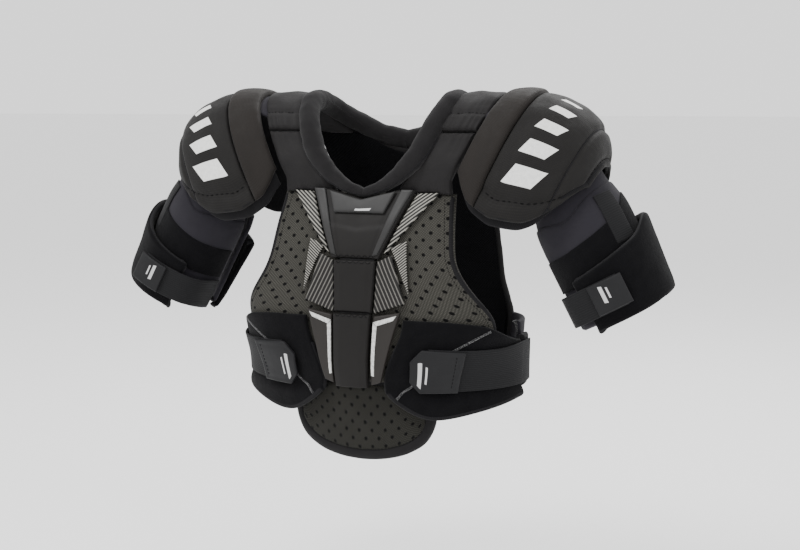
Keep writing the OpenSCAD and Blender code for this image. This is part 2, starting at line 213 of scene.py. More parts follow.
def cap_along(s):
    out = CAP_RIM_RUN * (1 - np.maximum(1 - np.clip(s, 0, None), 0) ** CAP_SPREAD + np.maximum(0, s - 1))
    return CAP_MIDDLE + np.where(s < 0, CAP_NECK_RUN * s, out)


def cap(s, t):
    """Cap dome: s is -1 at the neck edge and 1 at the outer rim; t goes round it from front to back."""
    along = cap_along(s)
    share = np.clip((along - CAP_MIDDLE) / CAP_REACH, 0, 0.999)
    swell = np.where(s < 0, 1 - CAP_NARROWING * s * s, (1 - share ** CAP_BULGE) ** (1 / CAP_BULGE))
    y = CAP_HALF_W * swell * signed_power(np.sin(np.radians(t)), CAP_SQUARENESS)
    up = CAP_BASE + CAP_H * swell * signed_power(np.cos(np.radians(t)), CAP_SQUARENESS)
    x = CAP_PIVOT[0] + along * math.cos(CAP_LEAN) + up * math.sin(CAP_LEAN)
    z = CAP_PIVOT[1] + up * math.cos(CAP_LEAN) - along * math.sin(CAP_LEAN)
    return stack(x, y, z)


def cap_end(s):
    return eased(cap_along(s), CAP_RIM, 3.5)


def arm(a, u, r):
    """Bicep tube: a is 0 outward and -90 in front; u goes up along the arm."""
    c, s = np.cos(np.radians(a)), np.sin(np.radians(a))
    x = ARM_X + r * c * math.cos(ARM_LEAN) - u * math.sin(ARM_LEAN)
    z = ARM_Z + r * c * math.sin(ARM_LEAN) + u * math.cos(ARM_LEAN)
    return stack(x, r * s, z)


# ---- building pads ----
ROUNDED_END = np.array([0, 0.06, 0.25, 0.55, 1.0])
SEAM_REACH, SEAM_HELD, NO_SEAM = 3.4, 2.6, 99.0
CROWN_POWER = 0.6
UNEVENNESS_SCALE = 22.0
CLOTH_FRAMES = 20
CLOTH = {"quality": 5, "mass": 0.2, "tension_stiffness": 12, "compression_stiffness": 12, "shear_stiffness": 4,
         "bending_stiffness": 0.15, "vertex_group_mass": "sewn", "pin_stiffness": 1, "use_pressure": True,
         "uniform_pressure_force": 6, "shrink_min": -0.09, "shrink_max": -0.09}
SIMULATED = []
LATER = []  # what is done once the covers have their final shape


def stations(length, step, edge):
    """Places from 0 to 1 along a side, about step apart and closer together at its rounded ends."""
    ends = ROUNDED_END * edge / length
    inner = max(2, round((length - 2 * edge) / step))
    middle = np.linspace(ends[-1], 1 - ends[-1], inner + 1)[1:-1]
    return np.concatenate([ends, middle, 1 - ends[::-1]])


def lengths(at):
    """Mean length of the surface at(u, v) along u and along v."""
    k = np.linspace(0, 1, 12)
    p = at(*np.meshgrid(k, k, indexing="ij"))
    along = np.linalg.norm(np.diff(p, axis=0), axis=-1).sum(axis=0).mean()
    across = np.linalg.norm(np.diff(p, axis=1), axis=-1).sum(axis=1).mean()
    return along, across


def distances(path):
    """Distance of each point from the start of a path."""
    return np.concatenate([[0], np.cumsum(np.linalg.norm(np.diff(path, axis=0), axis=-1))])


def unit(v):
    return v / np.maximum(np.linalg.norm(v, axis=-1, keepdims=True), 1e-9)


def normals(p):
    """Outward normals of a grid whose first direction runs right and second runs down."""
    return unit(np.cross(np.gradient(p, axis=1), np.gradient(p, axis=0)))


def smooth_noise(p, scale, seed=0.0):
    """Noise field sampled at a grid of points, from -1 to 1."""
    flat = [noise.noise(Vector(q) / scale + Vector((seed, seed, seed))) for q in p.reshape(-1, 3)]
    return np.array(flat).reshape(p.shape[:-1])


def new_piece(name, points, faces, uv):
    """Smooth-shaded object from points in mm, with a UV map in metres."""
    mesh = bpy.data.meshes.new(name)
    mesh.from_pydata((points * MM).tolist(), [], [tuple(int(k) for k in f) for f in faces])
    layer = mesh.uv_layers.new(name="cloth")
    corner = np.empty(len(mesh.loops), dtype=np.int32)
    mesh.loops.foreach_get("vertex_index", corner)
    layer.data.foreach_set("uv", (uv * MM)[corner].reshape(-1))
    mesh.polygons.foreach_set("use_smooth", [True] * len(mesh.polygons))
    return add_object(name, mesh)


def slab_faces(nu, nv):
    """Faces of a closed slab whose outer grid of points comes before its inner one."""
    o, i = np.arange(2 * nu * nv).reshape(2, nu, nv)
    faces = []
    for a in range(nu - 1):
        for b in range(nv - 1):
            faces.append((o[a, b], o[a, b + 1], o[a + 1, b + 1], o[a + 1, b]))
            faces.append((i[a, b], i[a + 1, b], i[a + 1, b + 1], i[a, b + 1]))
    for a in range(nu - 1):
        faces.append((o[a, 0], o[a + 1, 0], i[a + 1, 0], i[a, 0]))
        faces.append((o[a + 1, -1], o[a, -1], i[a, -1], i[a + 1, -1]))
    for b in range(nv - 1):
        faces.append((o[0, b + 1], o[0, b], i[0, b], i[0, b + 1]))
        faces.append((o[-1, b], o[-1, b + 1], i[-1, b + 1], i[-1, b]))
    return faces


class Pad:
    """Padded panel on the surface at(u, v), filling low..high mm above it.

    Its rim is rounded over edge mm and its middle rises crown mm more. seam(x, y) is the distance in mm to
    the nearest sewn line, where the cover is drawn in by tuck mm. relief(u, v, x, y) adds a shape of its own,
    and rough is the height of gentle unevenness. x and y are in mm from the first corner. The cloth may move
    the cover by up to limit mm. A soft pad is drawn smoother. A flat pad carries its print
    as laid on from the front, where it would otherwise follow the pad's sides.
    """

    def __init__(self, name, at, low, high, step=4.0, edge=None, crown=0.0, relief=None, rough=0.0,
                 seam=None, tuck=2.5, limit=0.0, soft=True, flat=False):
        edge = edge if edge is not None else (high - low) / 2
        across, down = lengths(at)
        self.u, self.v = stations(across, step, edge), stations(down, step, edge)
        u, v = np.meshgrid(self.u, self.v, indexing="ij")
        p = at(u, v)
        n = normals(p)
        x, y = u * across, v * down
        rim = np.minimum(np.minimum(x, across - x), np.minimum(y, down - y)) / edge
        fullness = np.sqrt(np.maximum(0, 1 - (1 - np.minimum(rim, 1)) ** 2))
        middle, half = (low + high) / 2, (high - low) / 2
        top = half * fullness + crown * (4 * u * (1 - u)) ** CROWN_POWER * (4 * v * (1 - v)) ** CROWN_POWER
        gap = np.full(x.shape, NO_SEAM)
        if seam is not None:
            gap = seam(x, y)
            top = top - tuck * np.exp(-(gap / SEAM_REACH) ** 2) * fullness
        if rough:
            top = top + rough * smooth_noise(p, UNEVENNESS_SCALE) * fullness
        if relief is not None:
            top = top + relief(u, v, x, y) * fullness
        self.name, self.size, self.limit, self.soft = name, (across, down), limit, soft
        self.outer = p + n * (middle + top)[..., None]
        self.inner = p + n * (middle - half * fullness)[..., None]
        self.points = np.concatenate([self.outer.reshape(-1, 3), self.inner.reshape(-1, 3)])
        print_at = stack(p[..., 0], -p[..., 2], 0)[..., :2] if flat else np.stack([x, y], axis=-1)
        uv = np.tile(print_at.reshape(-1, 2), (2, 1))
        self.piece = new_piece(name, self.points, slab_faces(len(self.u), len(self.v)), uv)
        if limit:
            held = np.where((gap < SEAM_HELD) | (rim < 0.9), 1.0, 0.0).reshape(-1)
            group = self.piece.vertex_groups.new(name="sewn")
            count = len(held)
            group.add([int(k) for k in np.nonzero(held)[0]] + list(range(count, 2 * count)), 1.0, "REPLACE")
            SIMULATED.append(self)

    def on(self, u, v, lift=0.0):
        """Points and normals of the finished outer face at given u and v."""
        a = np.interp(u, self.u, np.arange(len(self.u)))
        b = np.interp(v, self.v, np.arange(len(self.v)))
        a, b = np.broadcast_arrays(a, b)
        i, j = np.minimum(a.astype(int), len(self.u) - 2), np.minimum(b.astype(int), len(self.v) - 2)
        ka, kb = (a - i)[..., None], (b - j)[..., None]

        def blend(grid):
            low = mix(grid[i, j], grid[i + 1, j], ka)
            return mix(low, mix(grid[i, j + 1], grid[i + 1, j + 1], ka), kb)
        n = unit(blend(normals(self.outer)))
        return blend(self.outer) + n * lift, n


def simulate():
    """Inflates the sewn covers with Blender's cloth, all at once, and keeps the result in their meshes."""
    scene = bpy.context.scene
    for pad in SIMULATED:
        cloth = pad.piece.modifiers.new("cloth", "CLOTH")
        for setting, value in CLOTH.items():
            setattr(cloth.settings, setting, value)
        cloth.settings.effector_weights.gravity = 0
        cloth.collision_settings.use_collision = False
        cloth.collision_settings.use_self_collision = False
        cloth.point_cache.frame_start = 1
        cloth.point_cache.frame_end = CLOTH_FRAMES
    for number in range(1, CLOTH_FRAMES + 1):
        scene.frame_set(number)
    view = bpy.context.evaluated_depsgraph_get()
    for pad in SIMULATED:
        posed = pad.piece.evaluated_get(view).data
        moved = np.empty(len(posed.vertices) * 3)
        posed.vertices.foreach_get("co", moved)
        shift = moved.reshape(-1, 3) / MM - pad.points
        size = np.linalg.norm(shift, axis=-1, keepdims=True)
        shift *= pad.limit * np.tanh(size / pad.limit) / np.maximum(size, 1e-9)
        points = pad.points + shift
        pad.piece.modifiers.clear()
        pad.piece.data.vertices.foreach_set("co", (points * MM).reshape(-1))
        pad.piece.data.update()
        pad.outer = points[:len(points) // 2].reshape(pad.outer.shape)
    scene.frame_set(1)


def tube(name, path, half_w, half_t=None, facing=None, sides=10):
    """Tube along a path; half_t makes it oval, thin along the facing directions."""
    path = np.asarray(path, dtype=float)
    count = len(path)
    half_w = np.broadcast_to(half_w, count)[:, None, None]
    half_t = half_w if half_t is None else np.broadcast_to(half_t, count)[:, None, None]
    ahead = unit(np.gradient(path, axis=0))
    up = np.broadcast_to((0, 0, 1.0), path.shape) if facing is None else facing
    side = unit(np.cross(up, ahead))
    up = np.cross(ahead, side)
    turns = np.linspace(0, 2 * math.pi, sides, endpoint=False)[None, :, None]
    ring = side[:, None] * np.cos(turns) * half_w + up[:, None] * np.sin(turns) * half_t
    points = (path[:, None] + ring).reshape(-1, 3)
    girth = float(half_w.mean()) * turns[0, :, 0]
    uv = np.stack(np.meshgrid(distances(path), girth, indexing="ij"), axis=-1).reshape(-1, 2)
    faces = []
    for i in range(count - 1):
        below, above = i * sides, (i + 1) * sides
        for j in range(sides):
            k = (j + 1) % sides
            faces.append((below + j, below + k, above + k, above + j))
    faces.append(tuple(reversed(range(sides))))
    faces.append(tuple((count - 1) * sides + j for j in range(sides)))
    return new_piece(name, points, faces, uv)


def stitches(name, points, facing, length=3.0, gap=1.6, width=0.45, sway=0.0):
    """Row of separate stitches along points; sway makes it a zigzag."""
    run = distances(points)
    starts = np.arange(1.0, run[-1] - length, length + gap)
    side = unit(np.cross(facing, np.gradient(points, axis=0)))

    def along(values, where):
        return np.array([np.interp(where, run, values[:, k]) for k in range(3)])
    verts, faces, uv = [], [], []
    for number, start in enumerate(starts):
        ends = []
        for where, sign in ((start, -1), (start + length, 1)):
            off = sway * sign * (1 if number % 2 else -1)
            ends.append(along(points, where) + along(side, where) * off)
        up = along(facing, start)
        ahead = unit(ends[1] - ends[0])
        across = np.cross(up, ahead)
        base = len(verts)
        for end, thick in ((ends[0], 0.4), ((ends[0] + ends[1]) / 2, 1.0), (ends[1], 0.4)):
            for a, b in ((-1, 0), (0, 1), (1, 0), (0, -1)):
                verts.append(end + (across * a + up * b) * width * thick)
                uv.append((start, a + b))
        for row in (0, 4):
            for j in range(4):
                k = (j + 1) % 4
                faces.append((base + row + j, base + row + 4 + j, base + row + 4 + k, base + row + k))
        faces.append((base, base + 1, base + 2, base + 3))
        faces.append((base + 11, base + 10, base + 9, base + 8))
    return new_piece(name, np.array(verts), faces, np.array(uv, dtype=float))


def mirrored(piece):
    """The same piece for the wearer's other side."""
    name = piece.name.replace("_left", "_right")
    mesh = piece.data.copy()
    mesh.name = name
    mesh.transform(((-1, 0, 0, 0), (0, 1, 0, 0), (0, 0, 1, 0), (0, 0, 0, 1)))
    mesh.flip_normals()
    return add_object(name, mesh)


def both(piece, pair=True):
    """The piece with its side and, in a pair, its mirror image too; both exist before either is finished."""
    return [(piece, "left"), (mirrored(piece), "right")] if pair else [(piece, "left")]


def finish_piece(piece, body, slot, material, nodes=(), soft=False):
    """Rides a finished piece on its body, gives it its finish and hides the CAD nodes that it stands for."""
    piece.data.materials.clear()
    piece.data.materials.append(finish_of(material or slot))
    if soft:
        smooth = piece.modifiers.new("smooth", "SUBSURF")
        smooth.levels = smooth.render_levels = 1
    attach(piece, body)
    if nodes:
        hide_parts(*nodes)


def make_pad(stem, at, low, high, step, body, slot, material=None, pair=False, **shape):
    """Pad that stands for the node stem; one of a pair stands for stem_left and its mirror for stem_right."""
    pad = Pad(f"soft_{stem}_left" if pair else f"soft_{stem}", at, low, high, step, **shape)

    @LATER.append
    def act():
        for half, side in both(pad.piece, pair):
            node = f"{stem}_{side}" if pair else stem
            finish_piece(half, body.format(side), slot, material, (node,), pad.soft)
    return pad


def trim(piece, body, slot, pair=False, material=None):
    """Finishes a binding, a row of stitches or another piece that stands for no node."""
    for half, side in both(piece, pair):
        finish_piece(half, body.format(side), slot, material)


def make_extra(name, at, low, high, step, body, slot, material=None, **shape):
    """Pair of hard-edged pieces that stand for no node."""
    pad = Pad(name, at, low, high, step, soft=False, **shape)
    LATER.append(lambda: trim(pad.piece, body, slot, True, material))


# ---- finishes ----
class Shader:
    """Lays out the nodes of one material."""

    def __init__(self, name, roughness=0.8, specular=0.12, sheen=0.0):
        self.material = bpy.data.materials.new(name)
        self.material.use_nodes = True
        self.tree = self.material.node_tree
        self.surface = self.tree.nodes["Principled BSDF"]
        for socket, value in (("Roughness", roughness), ("Specular IOR Level", specular), ("Sheen Weight", sheen),
                              ("Sheen Roughness", 0.5)):
            self.surface.inputs[socket].default_value = value
        place = self.node("UVMap")
        place.uv_map = "cloth"
        self.uv = place.outputs["UV"]
        split = self.node("SeparateXYZ")
        self.feed(split.inputs[0], self.uv)
        self.x, self.y = split.outputs["X"], split.outputs["Y"]

    def node(self, kind):
        return self.tree.nodes.new("ShaderNode" + kind)

    def feed(self, socket, value):
        if isinstance(value, (int, float)):
            socket.default_value = value
        elif isinstance(value, tuple):
            socket.default_value = (*value, 1)
        else:
            self.tree.links.new(value, socket)

    def math(self, operation, *values):
        node = self.node("Math")
        node.operation = operation
        for socket, value in zip(node.inputs, values):
            self.feed(socket, value)
        return node.outputs[0]

    def add(self, a, b):
        return self.math("ADD", a, b)

    def times(self, a, b):
        return self.math("MULTIPLY", a, b)

    def flip(self, a):
        """1 where a is 0 and 0 where it is 1."""
        return self.add(1.0, self.times(a, -1.0))

    def step(self, value, low, high):
        """0 below low and 1 above high, smooth between."""
        node = self.node("MapRange")
        node.interpolation_type = "SMOOTHSTEP"
        self.feed(node.inputs["Value"], value)
        node.inputs["From Min"].default_value = low
        node.inputs["From Max"].default_value = high
        return node.outputs["Result"]

    def noise(self, scale, detail=3.0, stretch=None):
        node = self.node("TexNoise")
        node.inputs["Scale"].default_value = scale
        node.inputs["Detail"].default_value = detail
        where = self.uv
        if stretch:
            mapping = self.node("Mapping")
            mapping.inputs["Scale"].default_value = (*stretch, 1)
            self.feed(mapping.inputs["Vector"], where)
            where = mapping.outputs["Vector"]
        self.feed(node.inputs["Vector"], where)
        return node.outputs["Fac"]

    def mix(self, share, a, b):
        node = self.node("Mix")
        node.data_type = "RGBA"
        self.feed(node.inputs["Factor"], share)
        self.feed(node.inputs["A"], a)
        self.feed(node.inputs["B"], b)
        return node.outputs["Result"]

    def along(self, angle):
        """Distance in metres across lines that run at an angle."""
        a = math.radians(angle)
        return self.add(self.times(self.x, math.cos(a)), self.times(self.y, math.sin(a)))

    def wave(self, across, pitch):
        """Smooth ridges from 0 to 1, one each pitch."""
        turn = self.times(across, 2 * math.pi / pitch)
        return self.add(self.times(self.math("SINE", turn), 0.5), 0.5)

    def lines(self, across, pitch, share, blur=0.12):
        """Lines from 0 to 1, one each pitch, that take up a share of it."""
        return self.step(self.wave(across, pitch), 1 - share - blur, 1 - share + blur)

    def weave(self, pitch, angle=0.0):
        return self.times(self.wave(self.along(angle), pitch), self.wave(self.along(angle + 90), pitch))

    def holes(self, pitch, radius):
        """1 inside staggered round holes."""
        row = self.math("FLOOR", self.math("DIVIDE", self.y, pitch / 2))
        shift = self.times(self.math("MODULO", self.math("ABSOLUTE", row), 2.0), 0.5)
        a = self.math("FRACT", self.add(self.math("DIVIDE", self.x, pitch), shift))
        b = self.math("FRACT", self.math("DIVIDE", self.y, pitch / 2))
        a = self.times(self.add(a, -0.5), pitch)
        b = self.times(self.add(b, -0.5), pitch / 2)
        away = self.math("SQRT", self.add(self.times(a, a), self.times(b, b)))
        return self.flip(self.step(away, radius * 0.75, radius * 1.15))

    def inside(self, x0, y0, long, wide, angle, slant=0.0):
        """1 inside a slanted bar; its middle and sizes are in mm."""
        a = math.radians(angle)
        px = self.add(self.x, -x0 * MM)
        py = self.add(self.y, -y0 * MM)
        p = self.add(self.times(px, math.cos(a)), self.times(py, math.sin(a)))
        q = self.add(self.times(px, -math.sin(a)), self.times(py, math.cos(a)))
        p = self.math("ABSOLUTE", self.add(p, self.times(q, slant)))
        q = self.math("ABSOLUTE", q)
        edge = 0.3 * MM

        def within(away, size):
            return self.flip(self.step(away, size / 2 * MM - edge, size / 2 * MM + edge))
        return self.times(within(p, long), within(q, wide))

    def marks(self, *bars):
        total = self.inside(*bars[0])
        for bar in bars[1:]:
            total = self.math("MAXIMUM", total, self.inside(*bar))
        return total

    def bump(self, height, depth, strength=1.0):
        node = self.node("Bump")
        node.inputs["Strength"].default_value = strength
        node.inputs["Distance"].default_value = depth * MM
        self.feed(node.inputs["Height"], height)
        last = self.surface.inputs["Normal"]
        if last.is_linked:
            self.feed(node.inputs["Normal"], last.links[0].from_socket)
        self.feed(last, node.outputs["Normal"])

    def colour(self, value):
        self.feed(self.surface.inputs["Base Color"], value)

    def rough(self, least, scale, spread):
        """Roughness from least to least + spread, in patches."""
        self.feed(self.surface.inputs["Roughness"], self.add(least, self.times(self.noise(scale, 3), spread)))


CAP_MARK = []  # x and y in mm of the middle bar printed on the cap's cover


def nylon(s, dark, light):
    """Woven nylon: fine plain weave with a painted highlight on its thread crests, and soft creases; on the cap, a
    row of worn slanted bars.
    """
    patchy = s.noise(24, 4)
    base = s.mix(patchy, dark, light)
    thread = s.weave(1.7 * MM)
    # painted highlight: the weave's crests are mixed towards a lighter colour
    base = s.mix(s.times(thread, 0.3), base, tuple(c * 1.8 for c in light))
    if s.material.name == "nylon_cap":
        x, y = CAP_MARK
        bars = [(x, y - 27 * (k - 2), 36 - 4 * k, 17 - 2.2 * k, 0, 0.55) for k in range(5)]
        worn = s.add(0.72, s.times(s.noise(300, 3), 0.4))
        mark = s.times(s.marks(*bars), s.math("MINIMUM", worn, 1.0))
        base = s.mix(mark, base, (0.78, 0.78, 0.76))
    s.colour(base)
    s.rough(0.5, 60, 0.25)
    s.bump(thread, 0.25, 0.7)
    s.bump(s.noise(55, 5, (1.0, 0.45)), 1.8, 0.6)
    s.bump(s.noise(17, 4, (0.5, 1.3)), 4.5, 0.55)


def knit(s, dark, light):
    """Diagonal warp knit with small punched holes."""
    thread = s.weave(2.3 * MM, 38)
    base = s.mix(thread, dark, light)
    base = s.mix(s.times(s.noise(30, 4), 0.5), base, dark)
    punched = s.holes(18 * MM, 2.2 * MM)
    s.colour(s.mix(punched, base, (0.003, 0.003, 0.003)))
    s.bump(thread, 0.5, 0.8)
    s.bump(s.times(punched, -1.0), 1.2, 0.9)


def fine_cloth(s, pitch, patches, detail, dark, light, share, crest_highlight, depth, folds):
    """Fine diagonal weave with a painted highlight on its thread crests, and soft folds, given as their noise's
    scale and detail, and their depth.
    """
    weave = s.weave(pitch * MM, 45)
    base = s.mix(s.noise(patches, detail), dark, light)
    # painted highlight: the weave's crests are mixed towards a lighter colour
    s.colour(s.mix(s.times(weave, share), base, crest_highlight))
    s.bump(weave, depth, 0.6)
    s.bump(s.noise(*folds[:2]), folds[2], 0.4)


def mesh_liner(s):
    """Open black net, its colours set darker still as painted shade for the inside of the pads."""
    net = s.holes(3.4 * MM, 0.8 * MM)
    # the net is black, and its colours are darker still as painted shade for the inside of the pads
    base = s.mix(s.noise(25, 3), (0.004, 0.004, 0.0045), (0.008, 0.008, 0.009))
    s.colour(s.mix(net, base, (0.002, 0.002, 0.002)))
    s.bump(s.times(net, -1.0), 0.8, 0.8)


def plush(s):
    """Brushed loop fabric: deep pile with a soft sheen and scattered light fibres."""
    pile = s.noise(900, 6)
    base = s.mix(s.noise(60, 5), (0.0028, 0.0028, 0.0033), (0.0062, 0.006, 0.0068))
    fibre = s.step(s.noise(1400, 2, (1.0, 0.5)), 0.66, 0.78)
    s.colour(s.mix(s.times(fibre, 0.25), base, (0.06, 0.06, 0.066)))
    s.bump(pile, 0.9, 0.9)
    s.bump(s.noise(120, 4), 1.2, 0.5)


def binding(s):
    """Finely ribbed tape, with a painted highlight on its rib crests."""
    rib = s.wave(s.along(0), 2.2 * MM)
    base = s.mix(s.noise(80, 4), (0.0055, 0.0054, 0.006), (0.0105, 0.010, 0.011))
    # painted highlight: the rib crests are mixed towards a lighter colour
    s.colour(s.mix(s.times(rib, 0.25), base, (0.02, 0.02, 0.021)))
    s.bump(rib, 0.3, 0.6)


def elastic(s):
    """Ribbed elastic webbing."""
    rib = s.wave(s.along(90), 2.6 * MM)
    cross = s.wave(s.along(0), 1.6 * MM)
    base = s.mix(rib, (0.0085, 0.0085, 0.009), (0.0125, 0.0125, 0.0133))
    s.colour(s.mix(s.times(s.noise(60, 3), 0.4), base, (0.011, 0.011, 0.012)))
    s.bump(rib, 0.3, 0.6)
    s.bump(cross, 0.2, 0.5)


def moulded(s, patches, dark, light, least, scale, spread, grain=0.1, bars=()):
    """Moulded plastic: fine grain, patchy shine, and printed bars if it has any."""
    base = s.mix(s.noise(patches, 4), dark, light)
    if bars:
        base = s.mix(s.times(s.marks(*bars), 0.85), base, (0.6, 0.6, 0.6))
    s.colour(base)
    s.rough(least, scale, spread)
    s.bump(s.noise(1500, 3), grain, 0.6)


def label(s, *bars):
    """Moulded rubber with two light slanted bars."""
    base = s.mix(s.noise(40, 4), (0.006, 0.006, 0.0068), (0.0105, 0.0105, 0.0115))
    s.colour(s.mix(s.times(s.marks(*bars), 0.85), base, (0.55, 0.55, 0.55)))
    s.rough(0.45, 90, 0.2)
    s.bump(s.weave(1.6 * MM, 30), 0.15, 0.5)


def lined(s, angle, pitch, share, dark, silver):
    """Black film with raised silver lines."""
    line = s.lines(s.along(angle), pitch * MM, share)
    worn = s.add(0.65, s.times(s.noise(220, 3), 0.5))
    s.colour(s.mix(s.times(line, s.math("MINIMUM", worn, 1.0)), dark, silver))
    s.rough(0.4, 60, 0.2)
    s.bump(line, 0.6, 0.8)


def white_print(s):
    """Worn light print."""
    s.colour(s.mix(s.step(s.noise(260, 4), 0.3, 0.62), (0.36, 0.36, 0.35), (0.62, 0.62, 0.6)))
    s.bump(s.noise(900, 3), 0.1, 0.5)


def thread(s):
    """Black twisted thread."""
    twist = s.wave(s.along(60), 0.5 * MM)
    s.colour(s.mix(twist, (0.003, 0.003, 0.003), (0.009, 0.009, 0.0095)))
    s.bump(twist, 0.1, 0.6)


def piping(s):
    """Black cord with light flecks."""
    fleck = s.step(s.noise(500, 3, (1.0, 1.6)), 0.46, 0.62)
    s.colour(s.mix(fleck, (0.008, 0.008, 0.009), (0.1, 0.1, 0.1)))
    s.bump(s.noise(500, 3), 0.3, 0.7)


def hard_insert(s):
    """Smooth dark plastic."""
    s.colour(s.mix(s.noise(30, 3), (0.03, 0.03, 0.034), (0.05, 0.05, 0.055)))
    s.rough(0.3, 90, 0.15)
    s.bump(s.noise(400, 3), 0.1, 0.4)


# Each material's function, its roughness, specular and sheen, and what else its function takes.
RECIPES = {
    "nylon_black": (nylon, (0.6, 0.1, 0.03), (0.0085, 0.008, 0.0085), (0.0165, 0.0155, 0.0155)),
    "nylon_cap": (nylon, (0.6, 0.1, 0.03), (0.0065, 0.006, 0.006), (0.0125, 0.0118, 0.0112)),
    "nylon_roll": (nylon, (0.6, 0.1, 0.03), (0.0085, 0.0075, 0.0068), (0.0165, 0.014, 0.0125)),
    "knit_chest": (knit, (0.85, 0.05, 0.04), (0.028, 0.027, 0.0235), (0.082, 0.079, 0.069)),
    "knit_belly": (knit, (0.85, 0.05, 0.04), (0.014, 0.0137, 0.012), (0.043, 0.0415, 0.036)),
    # In the fine_cloth rows, the third colour is a painted highlight on the weave's crests.
    "knit_collar": (fine_cloth, (0.9, 0.04, 0.08), 1.4, 45, 5, (0.0075, 0.007, 0.0075), (0.0145, 0.0138, 0.0142),
                    0.3, (0.032, 0.031, 0.032), 0.3, (70, 4, 0.9)),
    "mesh_liner": (mesh_liner, (0.9, 0.03, 0.0)),
    "plush": (plush, (0.95, 0.02, 0.05)),
    "binding": (binding, (0.75, 0.06, 0.04)),
    "neoprene": (fine_cloth, (0.8, 0.07, 0.06), 1.1, 35, 4, (0.0125, 0.0115, 0.0145), (0.021, 0.0195, 0.0245),
                 0.2, (0.042, 0.040, 0.048), 0.2, (28, 3, 1.4)),
    "elastic": (elastic, (0.75, 0.08, 0.03)),
    "moulded_black": (moulded, (0.55, 0.12), 18, (0.0075, 0.007, 0.0068), (0.0135, 0.0125, 0.012),
                      0.42, 50, 0.2, 0.12),
    "moulded_ridge": (moulded, (0.5, 0.24), 18, (0.012, 0.0118, 0.0117), (0.0195, 0.019, 0.0188), 0.36, 60, 0.2),
    "moulded_grey": (moulded, (0.5, 0.22), 20, (0.0145, 0.0143, 0.0142), (0.0225, 0.022, 0.0218),
                     0.4, 60, 0.15, 0.1, ((44, 20, 22, 3.2, 0, 0.5), (44, 26, 13, 2, 0, 0.5))),
    "wing": (moulded, (0.5, 0.25), 20, (0.012, 0.0102, 0.009), (0.019, 0.0163, 0.0145), 0.45, 60, 0.2),
    "waist_label": (label, (0.55, 0.18), (13, 27, 30, 5, 90, 0.35), (21, 27, 20, 2.4, 90, 0.35)),
    "arm_label": (label, (0.55, 0.18), (14, 15, 20, 4, 90, 0.35), (20, 15, 13, 2, 90, 0.35)),
    "stripes": (lined, (0.5, 0.2), 52, 3.5, 0.36, (0.010, 0.010, 0.0095), (0.29, 0.28, 0.25)),
    "hatch": (lined, (0.5, 0.2), 52, 2.6, 0.42, (0.013, 0.013, 0.012), (0.27, 0.26, 0.235)),
    "ribs": (lined, (0.5, 0.2), -26, 4.6, 0.24, (0.0095, 0.009, 0.0085), (0.13, 0.124, 0.113)),
    "white_print": (white_print, (0.6, 0.2)),
    "thread": (thread, (0.8, 0.05)),
    "piping": (piping, (0.8, 0.1, 0.3)),
    "hard_insert": (hard_insert, (0.35, 0.4)),
}
FINISHES = {}


def finish_of(name):
    """The material of a name, made the first time that it is asked for."""
    if name not in FINISHES:
        recipe, base, *values = RECIPES[name]
        shader = Shader(name, *base)
        recipe(shader, *values)
        FINISHES[name] = shader.material
    return FINISHES[name]


# ---- shared ways to lay out pieces ----
NECK_DIP, DIP_HALF_W = 12, 43


def corners(tl, tr, br, bl, dip=0.0):
    """Four-cornered patch on the front of the trunk; corners are (x, z) and the middle of its top dips."""
    def at(u, v):
        x = mix(mix(tl[0], tr[0], u), mix(bl[0], br[0], u), v)
        z = mix(mix(tl[1], tr[1], u), mix(bl[1], br[1], u), v)
        return front(x, z - dip * (1 - v) * np.maximum(0, 1 - np.abs(x) / DIP_HALF_W))
    return at


def waist_band(start, end, half_w):
    """Band round the trunk at the waist strap's height, between two bearings."""
    return lambda u, v: trunk(mix(start, end, u), STRAP_Z + half_w * (1 - 2 * v))


def at_inset(at, du, dv):
    """The same surface with its sides brought in a little."""
    return lambda u, v: at(mix(du, 1 - du, u), mix(dv, 1 - dv, v))


def spline(points, steps):
    """Smooth curve through points, with steps pieces between each two."""
    p = np.array([points[0], *points, points[-1]], dtype=float)
    k = np.linspace(0, 1, steps, endpoint=False)[:, None]
    parts = []
    for a, b, c, d in zip(p, p[1:], p[2:], p[3:]):
        parts.append(0.5 * (2 * b + (c - a) * k + (2 * a - 5 * b + 4 * c - d) * k ** 2
                            + (3 * b - a - 3 * c + d) * k ** 3))
    return np.concatenate([*parts, p[-1:]])


def edge_walk(pad, legs, lift, step=4.0):
    """Points and normals along straight legs, given as (u, v) corners, on a finished pad."""
    u, v = [], []
    for (u0, v0), (u1, v1) in zip(legs, legs[1:]):
        count = max(4, round(math.hypot((u1 - u0) * pad.size[0], (v1 - v0) * pad.size[1]) / step))
        share = np.linspace(0, 1, count, endpoint=False)
        u.extend(mix(u0, u1, share))
        v.extend(mix(v0, v1, share))
    u.append(legs[-1][0])
    v.append(legs[-1][1])
    points, facing = pad.on(np.array(u), np.array(v), lift)
    for _ in range(3):
        points[1:-1] = (points[:-2] + 2 * points[1:-1] + points[2:]) / 4
    return points, facing


def bind(name, pad, legs, body, half_w=4.5, half_t=6.5, lift=-6.0, pair=False, slot="binding", material=None):
    """Binding folded over an edge of a pad, after its cover has its final shape."""
    @LATER.append
    def act():
        points, facing = edge_walk(pad, legs, lift)
        trim(tube(name, points, half_w, half_t, facing), body, slot, pair, material)


def sew(name, pad, legs, body, pair=False, sway=0.0, length=3.0, gap=1.6, width=0.45, lift=0.25):
    """Row of stitches on the finished face of a pad."""
    @LATER.append
    def act():
        points, facing = edge_walk(pad, legs, lift, 2.5)
        trim(stitches(name, points, facing, length, gap, width, sway), body, "binding", pair, "thread")


def bridge(pad, finish, pair=True):
    """Fabric between two bodies: gets its finish and keeps its place in its mesh, riding on no body."""
    @LATER.append
    def act():
        for half, side in both(pad.piece, pair):
            half.data.materials.append(finish_of(finish))
            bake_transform(half)


def cross_seams(*places):
    """Sewn lines across a pad at the given distances down it."""
    return lambda x, y: np.minimum.reduce([np.abs(y - place) for place in places])


